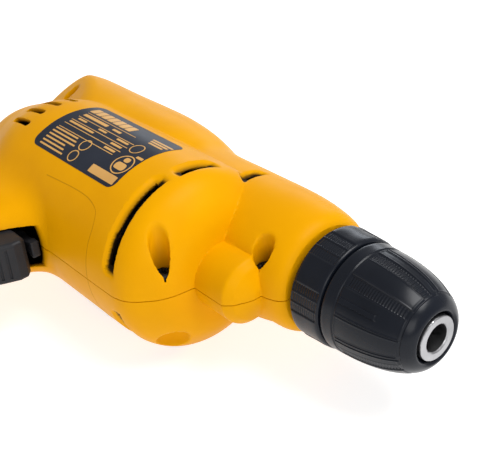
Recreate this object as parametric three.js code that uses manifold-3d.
// Corded pistol-grip drill with a keyless chuck, lying on its left side.
// Millimetres. X runs forward along the spindle, Y towards the top of the drill, Z to its right.
// Every piece is drawn from the centre of the chuck's front face; the last lines move the whole drill.

import * as THREE from 'three';
import { LoftGeometry } from 'three/addons/geometries/LoftGeometry.js';
import { mergeVertices } from 'three/addons/utils/BufferGeometryUtils.js';
import Module from 'manifold-3d';

const wasm = await Module();
wasm.setup();

// ---------------------------------------------------------------- driving dimensions

const GAP = 0.35; // clearance between pieces that touch
const WALL = 2.7; // thickness of the moulded shells

const GEAR_MODULE = 0.8;
const PINION_TEETH = 7;
const GEAR_TEETH = 52;
const MOTOR_Y = -GEAR_MODULE * (PINION_TEETH + GEAR_TEETH) / 2; // motor axis below the spindle axis
const SHELL_Y = MOTOR_Y - 0.7; // the shell around the motor sits a little low, for the wiring above it
const GEAR_X = [-81, -72];

const CHUCK_REAR = -47.2;
const SLEEVE_SPLIT = -33.4; // where the turning front sleeve meets the fixed rear sleeve
const NOSE_RADIUS = 8.1;
const BORE_RADIUS = 5.05;
const BORE_DEPTH = 28;

const JAW_ANGLE = THREE.MathUtils.degToRad(17);
const JAW_RADIUS = 2.9;
const JAW_LENGTH = 25;
const JAW_REACH = 3; // how far the closed jaws stand out of the nose
const JAW_OPEN = 5; // radius of the open grip

const STATOR_X = [-156, -110];
const STATOR_RADIUS = 28;
const ARMATURE_RADIUS = 16.2;
const POLE_RADIUS = 16.8;
const WINDOW_RADIUS = 24.4;
const POLE_HALF_ANGLE = THREE.MathUtils.degToRad(58);

const BASE_Y = -166; // flat underside of the handle

// Housing outlines as [x, radius], from front to back.
const TUBE = [
  [-49.5, 19.8], [-50.8, 21.2], [-53, 22.5], [-60, 24], [-70, 25], [-121, 25.5], [-137, 29.2],
  [-155, 31], [-217, 31], [-222, 30.2], [-228, 27], [-233, 22], [-236, 16], [-238, 9],
];
const MOTOR = [
  [-78.2, 10], [-78.9, 15], [-79.8, 20.5], [-81.6, 25.3], [-84.8, 29.7], [-87.6, 32.7], [-90.6, 34.6],
  [-94.6, 35.7], [-100, 35.9], [-165, 36.3], [-183, 36.1], [-192, 34.4], [-200, 31.5], [-208, 28.4], [-216, 25.5], [-223, 21.5],
  [-226, 14],
];
const MOTOR_HOLLOW = [
  [-82.4, 14], [-83.2, 20], [-85.2, 24.6], [-88, 28.2], [-91, 30.8], [-95, 32.4], [-100, 32.9],
  [-165, 33.3], [-183, 33.1], [-192, 31.5], [-200, 28.6], [-208, 25.5], [-216, 22.6], [-221, 19],
];
const BLISTER = [[-57.7, 3.3], [-58.7, 6.4], [-60.5, 10.3], [-63.3, 13], [-82, 13]];

// Level sections of the handle, from top to bottom, as [y, back x, front x, half width].
const HANDLE = [
  [-12, -227, -150, 20], [-34, -222, -144, 20], [-50, -213.5, -141.5, 19.5], [-60, -208.5, -143.5, 19],
  [-70, -206.5, -149.5, 18.5], [-98, -208.5, -159, 18], [-124, -214.5, -167.5, 17.6],
  [-142, -219.5, -172, 17.8], [-154, -224, -173, 18.8], [-163, -226.5, -171.5, 19.2],
  [BASE_Y, -225, -173, 17.6],
];

// Screws that hold the shells together, as [x, y, well radius].
const HOUSING_SCREWS = [
  [-61.4, -17.9, 3.7], [-84.5, -44.7, 3.9], [-217, 0.3, 4.2], [-202, -60, 4], [-173.5, -112, 4],
  [-181, -152, 4], [-216, -146, 4],
];
const REAR_SLOPE = { normal: [-0.41, -0.55, 1], height: 112.8 }; // the flat on each side of the back end
const SCREW = { seat: 6, shank: 2, tip: -10 }; // heads sit at the bottom of the right shell's wells

// ---------------------------------------------------------------- materials

const finish = (color, roughness, metalness = 0) => (
  new THREE.MeshStandardMaterial({ color, roughness, metalness })
);
const YELLOW = finish(0xf2a705, 0.5);
const BLACK = finish(0x1b1e24, 0.42);
const NAVY = finish(0x16171d, 0.45);
const STEEL = finish(0xb9bcc2, 0.3, 1);
const DARK_STEEL = finish(0x55585e, 0.4, 1);
const COPPER = finish(0xb4622c, 0.4, 1);
const BRASS = finish(0xc09a48, 0.35, 1);
const ALUMINIUM = finish(0xa9adb1, 0.45, 1);
const CARBON = finish(0x2a2a2c, 0.7);
const RED = finish(0xb3261c, 0.45);
const BROWN = finish(0x6a3d20, 0.5);
const BLUE = finish(0x24509c, 0.5);
const BAKELITE = finish(0x3a2c25, 0.5);

// ---------------------------------------------------------------- solids

/** A closed solid from a geometry: shared vertices merged, empty faces dropped, faces turned outwards. */
function solid(geometry) {
  const bare = new THREE.BufferGeometry();
  bare.setAttribute('position', geometry.getAttribute('position'));
  bare.setIndex(geometry.getIndex());
  const merged = mergeVertices(bare, 1e-4);
  const points = merged.getAttribute('position').array;
  const index = merged.getIndex().array;
  const faces = [];
  let volume = 0;
  const [a, b, c] = [new THREE.Vector3(), new THREE.Vector3(), new THREE.Vector3()];
  for (let i = 0; i < index.length; i += 3) {
    const [p, q, r] = index.slice(i, i + 3);
    if (p === q || q === r || p === r) continue;
    faces.push([p, q, r]);
    volume += a.fromArray(points, p * 3).dot(b.fromArray(points, q * 3).cross(c.fromArray(points, r * 3)));
  }
  const outward = volume > 0 ? faces : faces.map(([p, q, r]) => [p, r, q]);
  return new wasm.Manifold(new wasm.Mesh({
    numProp: 3,
    vertProperties: new Float32Array(points),
    triVerts: new Uint32Array(outward.flat()),
  }));
}

/** Turned along X: [x, radius] points that start and end on the axis, or close on themselves. */
function turned(profile, { y = 0, segments = 24 } = {}) {
  const points = profile.map(([x, radius]) => new THREE.Vector2(radius, x));
  const geometry = new THREE.LatheGeometry(points, segments);
  geometry.rotateY(Math.PI / segments);
  return solid(geometry.rotateZ(-Math.PI / 2).translate(0, y, 0));
}

/** A solid body of revolution: its outline plus flat ends on the axis. */
function turnedBody(outline, options) {
  return turned([[outline[0][0], 0], ...outline, [outline.at(-1)[0], 0]], options);
}

/** A plain round bar along X. */
function bar(x0, x1, radius, options) {
  return turnedBody([[x0, radius], [x1, radius]], options);
}

/** A ring along X. */
function ring(x0, x1, inner, outer, options) {
  return turned([[x0, inner], [x0, outer], [x1, outer], [x1, inner], [x0, inner]], options);
}

/** A round post along Z. */
function post(x, y, radius, z0, z1, segments = 14) {
  const geometry = new THREE.CylinderGeometry(radius, radius, z1 - z0, segments);
  return solid(geometry.rotateX(Math.PI / 2).translate(x, y, (z0 + z1) / 2));
}

/** A box from its limits. */
function block([x0, x1], [y0, y1], [z0, z1]) {
  const geometry = new THREE.BoxGeometry(x1 - x0, y1 - y0, z1 - z0);
  return solid(geometry.translate((x0 + x1) / 2, (y0 + y1) / 2, (z0 + z1) / 2));
}

function outlineShape(points) {
  return new THREE.Shape(points.map(([u, v]) => new THREE.Vector2(u, v)));
}

/** An outline in the XY plane, given a thickness along Z and rounded by a bevel. */
function plate(points, z0, z1, bevel) {
  const geometry = new THREE.ExtrudeGeometry(outlineShape(points), {
    depth: z1 - z0 - 2 * bevel,
    bevelThickness: bevel,
    bevelSize: bevel,
    bevelOffset: -bevel,
    bevelSegments: 3,
  });
  return solid(geometry.translate(0, 0, z0 + bevel));
}

/** The handle, or the hollow inside it when its sections are drawn in by inset. */
function grip(inset = 0, lowest = BASE_Y, sides = 20) {
  const squareness = 0.8; // 1 is an ellipse, less is fuller
  const full = (value) => Math.sign(value) * Math.abs(value) ** squareness;
  const sections = HANDLE.filter(([y]) => y >= lowest).map(([y, back, front, halfWidth]) => {
    const points = [];
    for (let i = 0; i < sides; i += 1) {
      const angle = 2 * Math.PI * (i + 0.5) / sides;
      points.push(new THREE.Vector3(
        (front + back) / 2 + ((front - back) / 2 - inset) * full(Math.cos(angle)),
        y,
        (halfWidth - inset) * full(Math.sin(angle)),
      ));
    }
    return points;
  });
  return solid(new LoftGeometry(sections, { capStart: true, capEnd: true }));
}

/** An outline of [y, z] points, given a length along X. */
function barOf(shape, x0, x1) {
  const geometry = new THREE.ExtrudeGeometry(shape, { depth: x1 - x0, bevelEnabled: false });
  const turn = new THREE.Matrix4().makeBasis(
    new THREE.Vector3(0, 1, 0), new THREE.Vector3(0, 0, 1), new THREE.Vector3(1, 0, 0),
  );
  return solid(geometry.applyMatrix4(turn).translate(x0, 0, 0));
}

/** A wedge along X between two angles, measured from +Z towards +Y about an axis at height y. */
function wedge(x0, x1, y, from, to, reach = 60) {
  const steps = Math.ceil(Math.abs(to - from) / 30);
  const points = [[y, 0]];
  for (let i = 0; i <= steps; i += 1) {
    const angle = THREE.MathUtils.degToRad(from + (to - from) * i / steps);
    points.push([y + reach * Math.sin(angle), reach * Math.cos(angle)]);
  }
  return barOf(outlineShape(points), x0, x1);
}

/** A round wire along a curve. */
function wire(curve, radius, steps, sides = 8) {
  const points = [];
  for (let i = 0; i < sides; i += 1) {
    const angle = 2 * Math.PI * i / sides;
    points.push([radius * Math.cos(angle), radius * Math.sin(angle)]);
  }
  const geometry = new THREE.ExtrudeGeometry(outlineShape(points), { steps, extrudePath: curve });
  return solid(geometry);
}

const mirrored = (manifold) => manifold.mirror([0, 0, 1]);
const joined = (first, ...others) => others.reduce((sum, other) => sum.add(other), first);

// ---------------------------------------------------------------- the drill and its pieces

const drill = new THREE.Group();

function add(name, manifold, material) {
  const mesh = manifold.getMesh();
  const geometry = new THREE.BufferGeometry();
  geometry.setAttribute('position', new THREE.Float32BufferAttribute(mesh.vertProperties, 3));
  geometry.setIndex(Array.from(mesh.triVerts));
  geometry.computeVertexNormals();
  const piece = new THREE.Mesh(geometry, material);
  piece.name = name;
  drill.add(piece);
}

// ---- housing shells

const grown = (profile, by, from, to) => (
  profile.filter(([x]) => x <= from && x >= to).map(([x, radius]) => [x, radius + by])
);

/** The rear of the spindle housing slopes inwards to the screw on both sides. */
function sloped(manifold, inset) {
  const [x, y, z] = REAR_SLOPE.normal;
  const offset = inset * Math.hypot(x, y, z) - REAR_SLOPE.height;
  return manifold.trimByPlane([-x, -y, -z], offset / Math.hypot(x, y, z))
    .trimByPlane([-x, -y, z], offset / Math.hypot(x, y, z));
}

function housingOutside() {
  return joined(
    sloped(turnedBody(TUBE, { segments: 36 }), 0),
    turnedBody(MOTOR, { y: SHELL_Y, segments: 36 }),
    turnedBody(BLISTER, { y: MOTOR_Y, segments: 20 }),
    grip(),
  );
}

const FRONT_BEARING = { x: [-59.5, -51.5], outer: 13, bore: 5.35 };
const NOSE_BEARING = { x: [-70.8, -65.8], outer: 8, bore: 3.35 };
const MIDDLE_BEARING = { x: [-92, -85], outer: 11, bore: 4.35 };
const REAR_BEARING = { x: [-209.5, -203.5], outer: 9.5, bore: 3.85 };
const GEAR_PLATE_X = [-89, -84.6];

function housingInside() {
  const tube = [[-60.8, 20.6], ...grown(TUBE, -WALL, -70, -228), [-231.5, 19], [-234, 13]];
  return joined(
    sloped(turnedBody(tube, { segments: 28 }), WALL),
    turnedBody(MOTOR_HOLLOW, { y: SHELL_Y, segments: 32 }),
    bar(-71.4, -83.5, 10.6, { y: MOTOR_Y, segments: 20 }),
    grip(WALL, BASE_Y + 4),
  );
}

/** Ribs and seats that stand inside the shells. */
function housingRibs() {
  const stator = [45, 135, 225, 315].map((angle) => (
    wedge(-152, -114, MOTOR_Y, angle - 3, angle + 3, 40)
      .subtract(bar(-160, -100, STATOR_RADIUS + GAP, { y: MOTOR_Y, segments: 32 }))
  ));
  const rear = joined(
    bar(-208, -205, 70, { y: MOTOR_Y, segments: 8 }),
    ring(-210, -203, REAR_BEARING.outer + GAP, REAR_BEARING.outer + 3, { y: MOTOR_Y, segments: 24 }),
  ).subtract(bar(-215, -198, REAR_BEARING.outer + GAP, { y: MOTOR_Y, segments: 24 }));
  const plateSeat = bar(-92.2, -83.8, 50, { y: MOTOR_Y, segments: 8 })
    .subtract(gearPlateOutline(-93, -83, -1.6));
  const bosses = HOUSING_SCREWS.map(([x, y, well]) => post(x, y, well + 1.4, -40, 40, 12));
  return joined(...stator, rear, plateSeat, ...bosses);
}

function gearPlateOutline(x0, x1, grow) {
  return joined(
    bar(x0, x1, 20.8 + grow, { segments: 32 }),
    bar(x0, x1, 24.4 + grow, { y: MOTOR_Y, segments: 36 }),
  );
}

function ventSlots() {
  const band = [-98.8, -94.8];
  const skinOnly = ring(-260, -80, 28, 60, { y: SHELL_Y, segments: 24 });
  const intake = [14, 1.5, -11, -23.5].map((angle) => (
    wedge(-199, -182, SHELL_Y, angle - 2.2, angle + 2.2)
  ));
  const motorSlots = joined(wedge(...band, SHELL_Y, -72, -15), wedge(...band, SHELL_Y, -3, 23), ...intake)
    .intersect(skinOnly);
  const tubeSlot = wedge(-94.4, -90.4, 0, 5, 22).subtract(bar(-100, -86, 19));
  const slots = joined(motorSlots, tubeSlot);
  return slots.add(mirrored(slots));
}

function screwWells() {
  const wells = HOUSING_SCREWS.map(([x, y, well]) => post(x, y, well, SCREW.seat, 40));
  const cores = HOUSING_SCREWS.map(([x, y]) => post(x, y, SCREW.shank + GAP, SCREW.tip - 1, 10, 8));
  const leftWells = HOUSING_SCREWS.map(([x, y, well]) => post(x, y, well, -40, -13.5));
  return joined(...wells, ...cores, ...leftWells);
}

const LABEL = { x: [-171, -112.5], from: -33, to: 24, depth: 0.8 };

function labelBand(lower, upper, trim) {
  const skin = MOTOR.filter(([x]) => x <= -100 && x >= -195);
  const outer = skin.map(([x, radius]) => [x, radius + upper]);
  const inner = skin.map(([x, radius]) => [x, radius + lower]).reverse();
  const degrees = THREE.MathUtils.radToDeg(trim / 36);
  return turned([...outer, ...inner, outer[0]], { y: SHELL_Y, segments: 36 }).intersect(
    wedge(LABEL.x[0] + trim, LABEL.x[1] - trim, SHELL_Y, LABEL.from + degrees, LABEL.to - degrees),
  );
}

const TRIGGER = { back: -156.5, top: -67.4, bottom: -97, half: 8.5, travel: 7 };
const LEVER = { pivot: -157, tip: -144.6, half: 2.6, y: [-65.2, -61.4] };
const LOCK = { x: -170, y: -82, radius: 4.3, z: [-20.6, -13.4] };
const GLAND = { x: -199, radius: 6.6, bore: 3.6, y: [BASE_Y + 0.6, -154] };

function gripOpenings() {
  const front = block([TRIGGER.back - TRIGGER.travel - 0.7, -130], [TRIGGER.bottom - 1.2, -60.6], [-9.2, 9.2]);
  const lock = post(LOCK.x, LOCK.y, LOCK.radius + GAP, -30, -10);
  const inlet = uprightBar(GLAND.x, BASE_Y - 2, -150, GLAND.radius + GAP, 20);
  return joined(front, lock, inlet);
}

/** A round bar along Y. */
function uprightBar(x, y0, y1, radius, segments = 16) {
  const geometry = new THREE.CylinderGeometry(radius, radius, y1 - y0, segments);
  return solid(geometry.translate(x, (y0 + y1) / 2, 0));
}

function housing() {
  const hollow = housingInside().subtract(housingRibs());
  const noseBores = joined(
    bar(FRONT_BEARING.x[0] - 2, FRONT_BEARING.x[1] + GAP, FRONT_BEARING.outer + GAP, { segments: 28 }),
    bar(-60, -40, 9.6, { segments: 24 }),
    bar(-72, NOSE_BEARING.x[1] + GAP, NOSE_BEARING.outer + GAP, { y: MOTOR_Y, segments: 20 }),
  );
  return housingOutside()
    .subtract(hollow)
    .subtract(noseBores)
    .subtract(gearPlateOutline(GEAR_PLATE_X[0] - GAP, GEAR_PLATE_X[1] + GAP, GAP))
    .subtract(ventSlots())
    .subtract(screwWells())
    .subtract(gripOpenings())
    .subtract(labelBand(-LABEL.depth, 3, 0))
    .subtract(mirrored(labelBand(-LABEL.depth, 3, 0)));
}

const shell = housing();
const far = [-300, 100];
const half = (z) => block(far, far, z);
add('right_housing', shell.intersect(half([GAP / 2, 60])), YELLOW);
add('left_housing', shell.intersect(half([-60, -GAP / 2])), YELLOW);
add('rating_plate', labelBand(-LABEL.depth + GAP, 0, GAP), NAVY);
add('left_side_plate', mirrored(labelBand(-LABEL.depth + GAP, 0, GAP)), NAVY);

function housingScrew([x, y, well]) {
  const head = Math.min(3.6, well - 0.4);
  const seat = SCREW.seat + GAP;
  const drive = block([x - 2.2, x + 2.2], [y - 0.5, y + 0.5], [seat + 1.2, seat + 3]);
  return post(x, y, head, seat, seat + 2.4, 14)
    .add(post(x, y, SCREW.shank, SCREW.tip, seat + 1, 8))
    .subtract(drive);
}

HOUSING_SCREWS.forEach((screw, i) => add(`housing_screw_${i + 1}`, housingScrew(screw), DARK_STEEL));

// ---- bearings and gear plate

function bearing({ x, outer, bore }, y) {
  return ring(...x, bore, outer, { y, segments: 20 });
}

add('spindle_front_bearing', bearing(FRONT_BEARING, 0), STEEL);
add('armature_nose_bearing', bearing(NOSE_BEARING, MOTOR_Y), STEEL);
add('armature_front_bearing', bearing(MIDDLE_BEARING, MOTOR_Y), STEEL);
add('armature_rear_bearing', bearing(REAR_BEARING, MOTOR_Y), STEEL);

const BUSH = { x: [-94, -84.2], bore: 4.35, outer: 7 };
add('spindle_rear_bush', ring(...BUSH.x, BUSH.bore, BUSH.outer, { segments: 20 }), BRASS);

function gearPlate() {
  const [x0, x1] = GEAR_PLATE_X;
  const motorSeat = bar(x0 - 3.4, x0 + 1, MIDDLE_BEARING.outer + 2.4, { y: MOTOR_Y, segments: 28 });
  const bushSeat = bar(x0 - 4.6, x0 + 1, BUSH.outer + 2.2, { segments: 24 });
  const [screwX, screwY, well] = HOUSING_SCREWS[1];
  return joined(gearPlateOutline(x0, x1, 0), motorSeat, bushSeat)
    .subtract(bar(x0 - 5, MIDDLE_BEARING.x[1] + GAP, MIDDLE_BEARING.outer + GAP, { y: MOTOR_Y }))
    .subtract(bar(x0 - 5, x1 + 1, 6, { y: MOTOR_Y, segments: 16 }))
    .subtract(bar(x0 - 6, x1 + 1, BUSH.outer + GAP, { segments: 20 }))
    .subtract(post(screwX, screwY, well + 1.8, -40, 40));
}

add('gear_plate', gearPlate(), ALUMINIUM);

// ---- gears

/** An involute gear's outline; angles run from +Y towards +Z, with a tooth or a space on +Y. */
function gearShape(teeth, { addendum, dedendum, play, flank, toothUp }) {
  const pressure = THREE.MathUtils.degToRad(25);
  const pitch = GEAR_MODULE * teeth / 2;
  const base = pitch * Math.cos(pressure);
  const involute = (angle) => Math.tan(angle) - angle;
  const halfAt = (radius) => {
    const angle = radius > base ? Math.acos(base / radius) : 0;
    return Math.PI / (2 * teeth) - play / pitch + involute(pressure) - involute(angle);
  };
  const [root, tip] = [pitch - dedendum, pitch + addendum];
  const radii = flank.map((share) => root + (tip - root) * share);
  const points = [];
  for (let tooth = 0; tooth < teeth; tooth += 1) {
    const middle = 2 * Math.PI * (tooth + (toothUp ? 0 : 0.5)) / teeth;
    for (const radius of radii) points.push([radius, middle - halfAt(radius)]);
    for (const radius of [...radii].reverse()) points.push([radius, middle + halfAt(radius)]);
  }
  return points.map(([radius, angle]) => [radius * Math.cos(angle), radius * Math.sin(angle)]);
}

function gearBlank(points, x0, x1, y) {
  return barOf(outlineShape(points.map(([u, v]) => [u + y, v])), x0, x1);
}

const GEAR_OUTLINE = gearShape(GEAR_TEETH, {
  addendum: 0.5, dedendum: 1.05, play: 0.09, flank: [0, 0.55, 1], toothUp: true,
}).map(([u, v]) => [-u, -v]);
const PINION_OUTLINE = gearShape(PINION_TEETH, {
  addendum: 0.8, dedendum: 0.75, play: 0.09, flank: [0, 0.25, 0.6, 1], toothUp: false,
});

// ---- spindle body

const SEAT = 6; // spindle radius under the gear
const SHANK = 6.1; // spindle radius inside the chuck

const SPINDLE = [
  [-33.4, 5.4], [-34.2, SHANK], [-47.4, SHANK], [-47.4, 8.2], [-50.6, 8.2], [-51.2, 5], [-59.8, 5], [-59.8, 7.4],
  [-71.6, 7.4], [-71.6, SEAT], [-82.8, SEAT], [-83.6, 4], [-93.6, 4],
];

add('spindle', turnedBody(SPINDLE, { segments: 16 }).subtract(bar(-46, -30, 2.6, { segments: 12 })), STEEL);
add('spindle_gear', gearBlank(GEAR_OUTLINE, ...GEAR_X, 0)
  .subtract(bar(GEAR_X[0] - 1, GEAR_X[1] + 1, SEAT + GAP, { segments: 20 })), DARK_STEEL);
add('gear_retaining_ring', ring(-82.4, -81.4, SEAT + GAP, 8.4, { segments: 20 }), DARK_STEEL);

/** The line that a jaw slides along: its distance from the spindle axis at x. */
const jawLine = (x) => (JAW_REACH - x) * Math.tan(JAW_ANGLE);
const TRAVEL = JAW_OPEN / Math.sin(JAW_ANGLE);

/** A round bar along jaw number i, from one distance behind the closed tip to another. */
function jawBar(i, from, to, radius) {
  const geometry = new THREE.CylinderGeometry(radius, radius, to - from, 14);
  geometry.rotateZ(-Math.PI / 2).translate(-(from + to) / 2, 0, 0);
  geometry.rotateZ(-JAW_ANGLE).translate(JAW_REACH, 0, 0);
  return solid(geometry.rotateX(2 * Math.PI * i / 3));
}

const BODY = [
  [0, NOSE_RADIUS], [-9.4, NOSE_RADIUS], [-12, 10.4], [-23.7, 13.5], [-23.7, 10], [-31.3, 10],
  [-31.3, 14.5], [CHUCK_REAR + 0.5, 14.5],
];

function chuckBody() {
  const threeHoles = [0, 1, 2].map((i) => jawBar(i, -4, 56, JAW_RADIUS + GAP));
  const bore = [[1, BORE_RADIUS + 1.6], [-0.6, BORE_RADIUS], [-BORE_DEPTH, BORE_RADIUS]];
  return turnedBody(BODY, { segments: 28 })
    .subtract(turnedBody(bore, { segments: 24 }))
    .subtract(bar(-35, -20, 2.9, { segments: 12 }))
    .subtract(bar(CHUCK_REAR - 2, -33, SHANK + GAP, { segments: 16 }))
    .subtract(joined(...threeHoles));
}

add('chuck_body', chuckBody(), STEEL);

const CHUCK_SCREW = [[-24.6, 3.9], [-27.6, 3.9], [-27.6, 2.2], [-45.4, 2.2]];
add('chuck_screw', turnedBody(CHUCK_SCREW, { segments: 16 })
  .subtract(block([-26, -20], [-2.4, 2.4], [-0.45, 0.45]))
  .subtract(block([-26, -20], [-0.45, 0.45], [-2.4, 2.4])), DARK_STEEL);

const REAR_SLEEVE = [
  [SLEEVE_SPLIT - 0.2, 17.6], [SLEEVE_SPLIT - 0.2, 20.1], [-34.6, 20.6], [-45.8, 21], [CHUCK_REAR, 20],
  [CHUCK_REAR, 14.9], [-44, 14.9], [-43.4, 17.6],
];
const closed = (profile) => [...profile, profile[0]];
add('chuck_rear_sleeve', turned(closed(REAR_SLEEVE), { segments: 36 }), BLACK);

// ---- sleeve body: what the hand turns

const FRONT_SLEEVE = [
  [-1.6, 8.6], [-0.9, 9.3], [-0.2, 9.9], [-0.7, 11.2], [-1.7, 12.6], [-3.4, 14], [-5.5, 15.2], [-9, 16.7],
  [-12.5, 17.8], [-17, 18.8], [-22, 19.5], [-30, 19.9], [-33.2, 20], [-33.2, 16.3], [-22.9, 16.3],
  [-22.9, 14.2], [-11.6, 10.9], [-9.2, 8.6],
];
add('chuck_front_sleeve', turned(closed(FRONT_SLEEVE), { segments: 36 }), BLACK);

const nutInner = (x) => jawLine(x) + JAW_RADIUS / Math.cos(JAW_ANGLE) + GAP;
const JAW_NUT = [[-24.2, nutInner(-24.2)], [-24.2, 15.9], [-30.8, 15.9], [-30.8, nutInner(-30.8)]];
add('jaw_nut', turned(closed(JAW_NUT), { segments: 28 }), DARK_STEEL);

// ---- jaws, open

function jaw(i) {
  const apex = JAW_OPEN + 0.12;
  const spread = (20 - apex) * Math.tan(Math.PI / 3);
  const tip = JAW_REACH - TRAVEL * Math.cos(JAW_ANGLE);
  const sector = barOf(outlineShape([[apex, 0], [20, -spread], [20, spread]]), -60, tip);
  const turn = new THREE.Matrix4().makeRotationX(2 * Math.PI * i / 3);
  return jawBar(i, TRAVEL - 3, TRAVEL + JAW_LENGTH, JAW_RADIUS).intersect(sector.transform(turn.elements));
}

for (const i of [0, 1, 2]) add(`jaw_${i + 1}`, jaw(i), DARK_STEEL);

// ---- armature body

const SHAFT = [
  [-65.9, 2.4], [-66.4, 3], [-71.4, 3], [-71.4, 2.05], [-81.6, 2.05], [-81.6, 3.6], [-84.8, 3.6], [-84.8, 4],
  [-203.2, 4], [-203.2, 3.5], [-210.5, 3.5],
];
add('armature_shaft', turnedBody(SHAFT, { y: MOTOR_Y, segments: 14 })
  .add(gearBlank(PINION_OUTLINE, GEAR_X[0] - 0.6, GEAR_X[1] + 0.6, MOTOR_Y)), STEEL);

const onShaft = 4 + GAP;
const motorTurn = { y: MOTOR_Y, segments: 24 };

function armatureCore() {
  let core = ring(-155, -111, onShaft, ARMATURE_RADIUS, motorTurn);
  for (let i = 0; i < 12; i += 1) {
    const slot = wedge(-156, -110, 0, -4, 4, 14).subtract(bar(-157, -109, 8)).add(
      block([-156, -110], [-0.7, 0.7], [13, 20]),
    );
    const turn = new THREE.Matrix4().makeRotationX(2 * Math.PI * i / 12).setPosition(0, MOTOR_Y, 0);
    core = core.subtract(slot.transform(turn.elements));
  }
  return core;
}

const FRONT_HEAD = [[-110.6, onShaft], [-110.6, 14.6], [-108, 15.2], [-104.6, 13.4], [-103.8, 9], [-103.8, onShaft]];
const REAR_HEAD = [[-155.4, onShaft], [-155.4, 14.6], [-159, 15.4], [-164, 13.6], [-168, 10], [-168, onShaft]];
const COMMUTATOR = [[-169, onShaft], [-169, 12.6], [-171.5, 12.6], [-171.5, 11], [-188, 11], [-188, onShaft]];

add('armature_core', armatureCore(), DARK_STEEL);
add('armature_winding_front', turned(closed(FRONT_HEAD), motorTurn), COPPER);
add('armature_winding_rear', turned(closed(REAR_HEAD), motorTurn), COPPER);
add('commutator', turned(closed(COMMUTATOR), motorTurn), COPPER);

function coolingFan() {
  const hub = ring(-102.8, -94, onShaft, 7.6, motorTurn);
  const disc = ring(-102.8, -101.2, 7, 29.4, { y: MOTOR_Y, segments: 32 });
  const blades = [];
  for (let i = 0; i < 11; i += 1) {
    const turn = new THREE.Matrix4().makeRotationX(2 * Math.PI * i / 11).setPosition(0, MOTOR_Y, 0);
    blades.push(block([-102, -94.6], [-0.7, 0.7], [15, 28.6]).transform(turn.elements));
  }
  return joined(hub, disc, ...blades);
}

add('cooling_fan', coolingFan(), BLACK);

// ---- stator, coils and brushes

/** The half-ring between the pole shoes and the yoke, on one side. */
function coilSpace(x0, x1, inner, outer, grow) {
  const pole = wedge(STATOR_X[0] - grow, STATOR_X[1] + grow, MOTOR_Y,
    -THREE.MathUtils.radToDeg(POLE_HALF_ANGLE) - grow, THREE.MathUtils.radToDeg(POLE_HALF_ANGLE) + grow);
  return ring(x0, x1, inner, outer, { y: MOTOR_Y, segments: 32 })
    .subtract(pole)
    .subtract(half([-60, 0.3 + grow * 0.3]));
}

function statorCore() {
  const window = coilSpace(STATOR_X[0] - 1, STATOR_X[1] + 1, POLE_RADIUS - 1, WINDOW_RADIUS, 0)
    .intersect(half([0.3, 60]));
  return bar(...STATOR_X, STATOR_RADIUS, { y: MOTOR_Y, segments: 40 })
    .subtract(bar(STATOR_X[0] - 1, STATOR_X[1] + 1, POLE_RADIUS, { y: MOTOR_Y, segments: 32 }))
    .subtract(window)
    .subtract(mirrored(window));
}

add('stator_core', statorCore(), DARK_STEEL);
const coil = coilSpace(STATOR_X[0] - 6, STATOR_X[1] + 4.5, POLE_RADIUS + 0.6, WINDOW_RADIUS - GAP, 1);
add('field_coil_right', coil, COPPER);
add('field_coil_left', mirrored(coil), COPPER);

const BRUSH = { x: [-184, -176.5], z: [-2.6, 2.6], near: 11.5, far: 22 };

/** Brush gear on one side of the commutator: side is +1 above it and -1 below it. */
function brushGear(side, place) {
  const span = (near, away) => [MOTOR_Y + side * near, MOTOR_Y + side * away].sort((a, b) => a - b);
  const { x, z, near, far: back } = BRUSH;
  const grow = ([low, high], by) => [low - by, high + by];
  const holder = block(grow(x, 1.6), span(near + 1.8, 30), grow(z, 1.6))
    .subtract(block(grow(x, GAP), span(near - 2, 28.6), grow(z, GAP)));
  const path = new Helix(side, (x[0] + x[1]) / 2, near + 11.2, 28.1);
  add(`brush_holder_${place}`, holder, BRASS);
  add(`carbon_brush_${place}`, block(x, span(near, back), z), CARBON);
  add(`brush_spring_${place}`, wire(path, 0.3, 36, 4), STEEL);
}

/** A coil spring's centre line behind a brush. */
class Helix extends THREE.Curve {
  constructor(side, x, near, away) {
    super();
    Object.assign(this, { side, x, near, away });
  }

  getPoint(t, target = new THREE.Vector3()) {
    const angle = t * 2 * Math.PI * 5;
    const reach = this.near + 0.3 + (this.away - this.near - 0.6) * t;
    return target.set(
      this.x + 1.9 * Math.cos(angle), MOTOR_Y + this.side * reach, 1.9 * Math.sin(angle),
    );
  }
}

brushGear(1, 'top');
brushGear(-1, 'bottom');

// ---- switch, trigger, lever and lock button

const SWITCH = { x: [-198, -166.5], y: [-99, -68], z: [-9.8, 9.8] };

function switchBody() {
  return block(SWITCH.x, SWITCH.y, SWITCH.z)
    .add(block([-178, -168], [SWITCH.y[1] - 0.5, SWITCH.y[1] + 1.4], [-6, 6]))
    .subtract(post(LOCK.x, LOCK.y, 2.2, -12, -7.5, 12));
}

function trigger() {
  const { back, top, bottom, half: side } = TRIGGER;
  const outline = [
    [back, top], [-143.5, top], [-141.2, -69.4], [-141, -73], [-143.4, -79], [-146.6, -85.5], [-149.6, -90.6],
    [-151, -94.6], [-153, bottom], [back, bottom],
  ];
  return plate(outline, -side, side, 1.6);
}

class TriggerCoil extends THREE.Curve {
  getPoint(t, target = new THREE.Vector3()) {
    const angle = t * 2 * Math.PI * 5;
    const [from, to] = [TRIGGER.back - 0.7, SWITCH.x[1] + 0.7];
    return target.set(from + (to - from) * t, -82 + 3.2 * Math.cos(angle), 3.2 * Math.sin(angle));
  }
}

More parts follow.
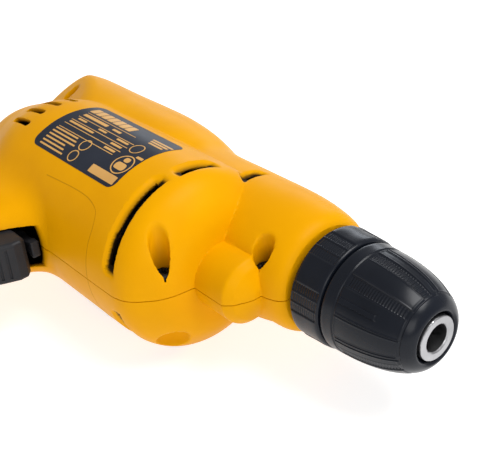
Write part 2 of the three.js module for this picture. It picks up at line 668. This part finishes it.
function reversingLever() {
  const x = LEVER.pivot;
  const arm = block([x, LEVER.tip], LEVER.y, [-LEVER.half, LEVER.half]);
  const paddle = block([LEVER.tip - 3.4, LEVER.tip], LEVER.y, [-3.6, 3.6]);
  const hub = uprightBar(x, LEVER.y[0], LEVER.y[1], 3, 16);
  const pin = uprightBar(x, LEVER.y[0] - 0.8, LEVER.y[0] + 1, 1.4, 12);
  return joined(arm, paddle, hub, pin);
}

add('switch_body', switchBody(), BLACK);
add('trigger', trigger(), BLACK);
add('trigger_spring', wire(new TriggerCoil(), 0.35, 36, 4), STEEL);
add('reversing_lever', reversingLever(), BLACK);
add('lock_on_button', post(LOCK.x, LOCK.y, LOCK.radius, ...LOCK.z).add(
  post(LOCK.x, LOCK.y, 1.6, LOCK.z[1] - 0.6, LOCK.z[1] + 2.8, 10)), BLACK);

// ---- handle electrics and cord inlet

add('suppression_capacitor', block([-200, -184], [-134, -112], [-6, 6]), BLUE);

function cordGland() {
  const [y0, y1] = GLAND.y;
  return uprightBar(GLAND.x, y0, y1, GLAND.radius, 20)
    .subtract(uprightBar(GLAND.x, y0 - 1, y1 + 1, GLAND.bore, 16));
}

const CLAMP = { y: [-145.5, -140], z: [4.6, 7], screws: [-206.4, -191.6], screwY: -142.7 };
add('cord_gland', cordGland(), BLACK);
const clampHoles = CLAMP.screws.map((x) => post(x, CLAMP.screwY, 1.5, 0, 10, 10));
add('cord_clamp', block([-209.4, -188.6], CLAMP.y, CLAMP.z).subtract(joined(...clampHoles)), BAKELITE);
CLAMP.screws.forEach((x, i) => add(
  `cord_clamp_screw_${i + 1}`,
  post(x, CLAMP.screwY, 2.6, CLAMP.z[1] + GAP, CLAMP.z[1] + 2.2, 14)
    .add(post(x, CLAMP.screwY, 1.15, -6, 7.8, 10)),
  STEEL,
));

function lead(points, radius) {
  const curve = new THREE.CatmullRomCurve3(points.map((point) => new THREE.Vector3(...point)));
  return wire(curve, radius, 10, 6);
}

add('brush_lead_top', lead([[-172, -65.4, 3], [-174, -60, 8], [-187.5, -44, 15], [-189, -20, 15],
  [-187, -3, 9], [-186.5, 1, 5]], 0.9), BROWN);
add('brush_lead_bottom', lead([[-176, -65.4, 3], [-182, -62, 5], [-187, -57, 5], [-187.2, -52, 3]], 0.9), RED);

// ---------------------------------------------------------------- placing

const box = new THREE.Box3().setFromObject(drill);
const centre = box.getCenter(new THREE.Vector3());
drill.position.set(-centre.x, -centre.y, -box.min.z);

const part = new THREE.Group();
part.add(drill);

export default part;
